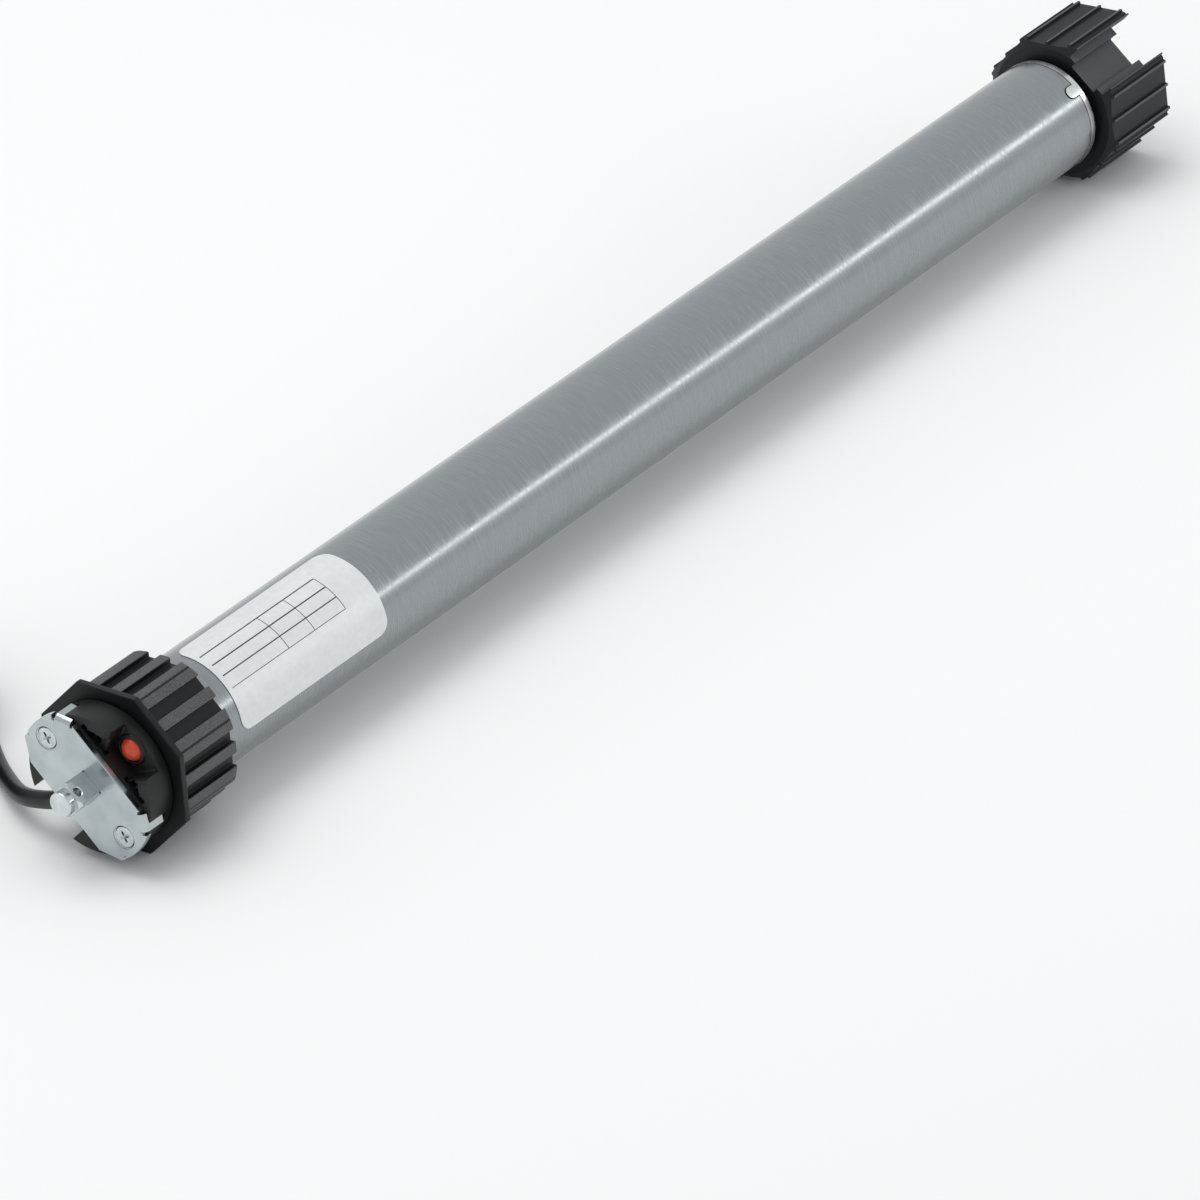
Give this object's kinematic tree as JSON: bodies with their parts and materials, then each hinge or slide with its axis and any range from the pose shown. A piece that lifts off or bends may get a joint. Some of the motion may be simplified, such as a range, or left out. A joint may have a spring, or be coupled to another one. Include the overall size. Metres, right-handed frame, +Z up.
{
  "type": "tubular roller blind motor",
  "caption": "Round tube motor that winds a roller blind: a fixed head with a square stub, a crown that counts the shaft's turns, a geared octagonal drive wheel and a coiled cable.",
  "frame": {"origin": "on the motor's axis, in the outer face of the bracket plate at the head", "axes": "+X runs along the motor's axis from the head to the drive wheel, +Z is up as the motor lies, +Y is the side that the cable leaves on"},
  "size_m": [0.6448, 0.2099, 0.0616],
  "materials": {
    "tube_steel": "satin galvanised steel tube, lightly brushed",
    "label_film": "silver-white film with fine ruled lines",
    "head_plastic": "moulded black plastic, satin",
    "crown_plastic": "speckled grey-black grained plastic",
    "wheel_plastic": "moulded black plastic, satin",
    "zinc_plate": "zinc-plated steel",
    "screw_steel": "bright zinc-plated steel",
    "white_plastic": "moulded white plastic",
    "grommet_rubber": "black rubber",
    "inner_plastic": "dark moulded plastic",
    "board_laminate": "green laminate",
    "can_aluminium": "die-cast and drawn aluminium",
    "stack_steel": "electrical steel",
    "copper_wire": "enamelled copper",
    "bearing_steel": "ground steel",
    "gear_steel": "sintered steel",
    "collar_steel": "bright turned steel",
    "bush_bronze": "sintered bronze",
    "red_plastic": "orange-red moulded plastic",
    "spring_steel": "spring steel",
    "gear_plastic": "natural acetal",
    "brake_lining": "bonded brake lining",
    "cable_sheath": "matte black rubber sheath",
    "core_insulation": "blue, brown, black and green-yellow insulation",
    "tie_nylon": "black nylon"
  },
  "bodies": {
    "motor": {"motor_tube": "tube_steel", "rating_label": "label_film", "head_body": "head_plastic", "bracket_plate": "zinc_plate", "square_stub": "zinc_plate", "plate_screws": "screw_steel", "tube_plug": "head_plastic", "plug_pins": "screw_steel", "cable_connector": "white_plastic", "cable_grommet": "grommet_rubber", "setting_switch": "inner_plastic", "limit_case": "inner_plastic", "chassis_tray": "inner_plastic", "circuit_board": "board_laminate", "board_parts": "inner_plastic", "capacitor": "can_aluminium", "stator_core": "stack_steel", "stator_winding": "copper_wire", "front_end_bell": "can_aluminium", "rear_end_bell": "can_aluminium", "front_bearing": "bearing_steel", "rear_bearing": "bearing_steel", "brake_magnet": "stack_steel", "brake_plate": "can_aluminium", "ring_gear_housing": "gear_steel", "gearbox_collar": "collar_steel", "output_bush": "bush_bronze", "button_spring": "spring_steel", "brake_spring": "spring_steel", "cable_run": "cable_sheath", "cable_coil": "cable_sheath", "cable_cores": "core_insulation", "cable_tie": "tie_nylon"},
    "button": {"setting_button": "red_plastic"},
    "crown": {"crown_adapter": "crown_plastic", "limit_ring": "gear_plastic"},
    "limit_pinion": {"limit_pinion": "gear_plastic"},
    "rotor": {"rotor_core": "stack_steel", "rotor_shaft": "bearing_steel", "brake_disc": "brake_lining"},
    "armature": {"brake_armature": "stack_steel"},
    "carrier_1": {"carrier_1": "gear_steel"},
    "carrier_2": {"carrier_2": "gear_steel"},
    "output": {"output_shaft": "gear_steel", "drive_wheel": "wheel_plastic", "wheel_circlip": "spring_steel"},
    "planet_1a": {"planet_1a": "gear_steel"},
    "planet_1b": {"planet_1b": "gear_steel"},
    "planet_1c": {"planet_1c": "gear_steel"},
    "planet_2a": {"planet_2a": "gear_steel"},
    "planet_2b": {"planet_2b": "gear_steel"},
    "planet_2c": {"planet_2c": "gear_steel"},
    "planet_3a": {"planet_3a": "gear_steel"},
    "planet_3b": {"planet_3b": "gear_steel"},
    "planet_3c": {"planet_3c": "gear_steel"}
  },
  "joints": [
    {"name": "drive_spin", "type": "hinge", "parent": "motor", "child": "output", "pos_m": [0, 0, 0], "axis": [1, 0, 0], "continuous": true},
    {"name": "carrier_2_spin", "type": "hinge", "parent": "motor", "child": "carrier_2", "pos_m": [0, 0, 0], "axis": [1, 0, 0], "continuous": true},
    {"name": "carrier_1_spin", "type": "hinge", "parent": "motor", "child": "carrier_1", "pos_m": [0, 0, 0], "axis": [1, 0, 0], "continuous": true},
    {"name": "rotor_spin", "type": "hinge", "parent": "motor", "child": "rotor", "pos_m": [0, 0, 0], "axis": [1, 0, 0], "continuous": true},
    {"name": "planet_1a_spin", "type": "hinge", "parent": "carrier_1", "child": "planet_1a", "pos_m": [0, 0.0108, 0], "axis": [1, 0, 0], "continuous": true},
    {"name": "planet_1b_spin", "type": "hinge", "parent": "carrier_1", "child": "planet_1b", "pos_m": [0, -0.0054, 0.00935], "axis": [1, 0, 0], "continuous": true},
    {"name": "planet_1c_spin", "type": "hinge", "parent": "carrier_1", "child": "planet_1c", "pos_m": [0, -0.0054, -0.00935], "axis": [1, 0, 0], "continuous": true},
    {"name": "planet_2a_spin", "type": "hinge", "parent": "carrier_2", "child": "planet_2a", "pos_m": [0, 0.0108, 0], "axis": [1, 0, 0], "continuous": true},
    {"name": "planet_2b_spin", "type": "hinge", "parent": "carrier_2", "child": "planet_2b", "pos_m": [0, -0.0054, 0.00935], "axis": [1, 0, 0], "continuous": true},
    {"name": "planet_2c_spin", "type": "hinge", "parent": "carrier_2", "child": "planet_2c", "pos_m": [0, -0.0054, -0.00935], "axis": [1, 0, 0], "continuous": true},
    {"name": "planet_3a_spin", "type": "hinge", "parent": "output", "child": "planet_3a", "pos_m": [0, 0.0108, 0], "axis": [1, 0, 0], "continuous": true},
    {"name": "planet_3b_spin", "type": "hinge", "parent": "output", "child": "planet_3b", "pos_m": [0, -0.0054, 0.00935], "axis": [1, 0, 0], "continuous": true},
    {"name": "planet_3c_spin", "type": "hinge", "parent": "output", "child": "planet_3c", "pos_m": [0, -0.0054, -0.00935], "axis": [1, 0, 0], "continuous": true},
    {"name": "crown_spin", "type": "hinge", "parent": "motor", "child": "crown", "pos_m": [0, 0, 0], "axis": [1, 0, 0], "continuous": true},
    {"name": "limit_pinion_spin", "type": "hinge", "parent": "motor", "child": "limit_pinion", "pos_m": [0, -0.00933, -0.00933], "axis": [1, 0, 0], "continuous": true},
    {"name": "button_press", "type": "slide", "parent": "motor", "child": "button", "axis": [1, 0, 0], "range_m": [0, 0.001], "stiffness_N_per_m": 400, "deforming": ["button_spring"]},
    {"name": "brake_release", "type": "slide", "parent": "motor", "child": "armature", "axis": [-1, 0, 0], "range_m": [0, 0.0006], "stiffness_N_per_m": 4000, "deforming": ["brake_spring"]}
  ],
  "couplings": [
    {"joint": "carrier_2_spin", "follows": "drive_spin", "ratio": 6},
    {"joint": "carrier_1_spin", "follows": "drive_spin", "ratio": 36},
    {"joint": "rotor_spin", "follows": "drive_spin", "ratio": 216},
    {"joint": "planet_1a_spin", "follows": "drive_spin", "ratio": -90},
    {"joint": "planet_1b_spin", "follows": "drive_spin", "ratio": -90},
    {"joint": "planet_1c_spin", "follows": "drive_spin", "ratio": -90},
    {"joint": "planet_2a_spin", "follows": "drive_spin", "ratio": -15},
    {"joint": "planet_2b_spin", "follows": "drive_spin", "ratio": -15},
    {"joint": "planet_2c_spin", "follows": "drive_spin", "ratio": -15},
    {"joint": "planet_3a_spin", "follows": "drive_spin", "ratio": -2.5},
    {"joint": "planet_3b_spin", "follows": "drive_spin", "ratio": -2.5},
    {"joint": "planet_3c_spin", "follows": "drive_spin", "ratio": -2.5},
    {"joint": "limit_pinion_spin", "follows": "crown_spin", "ratio": 3.75}
  ]
}
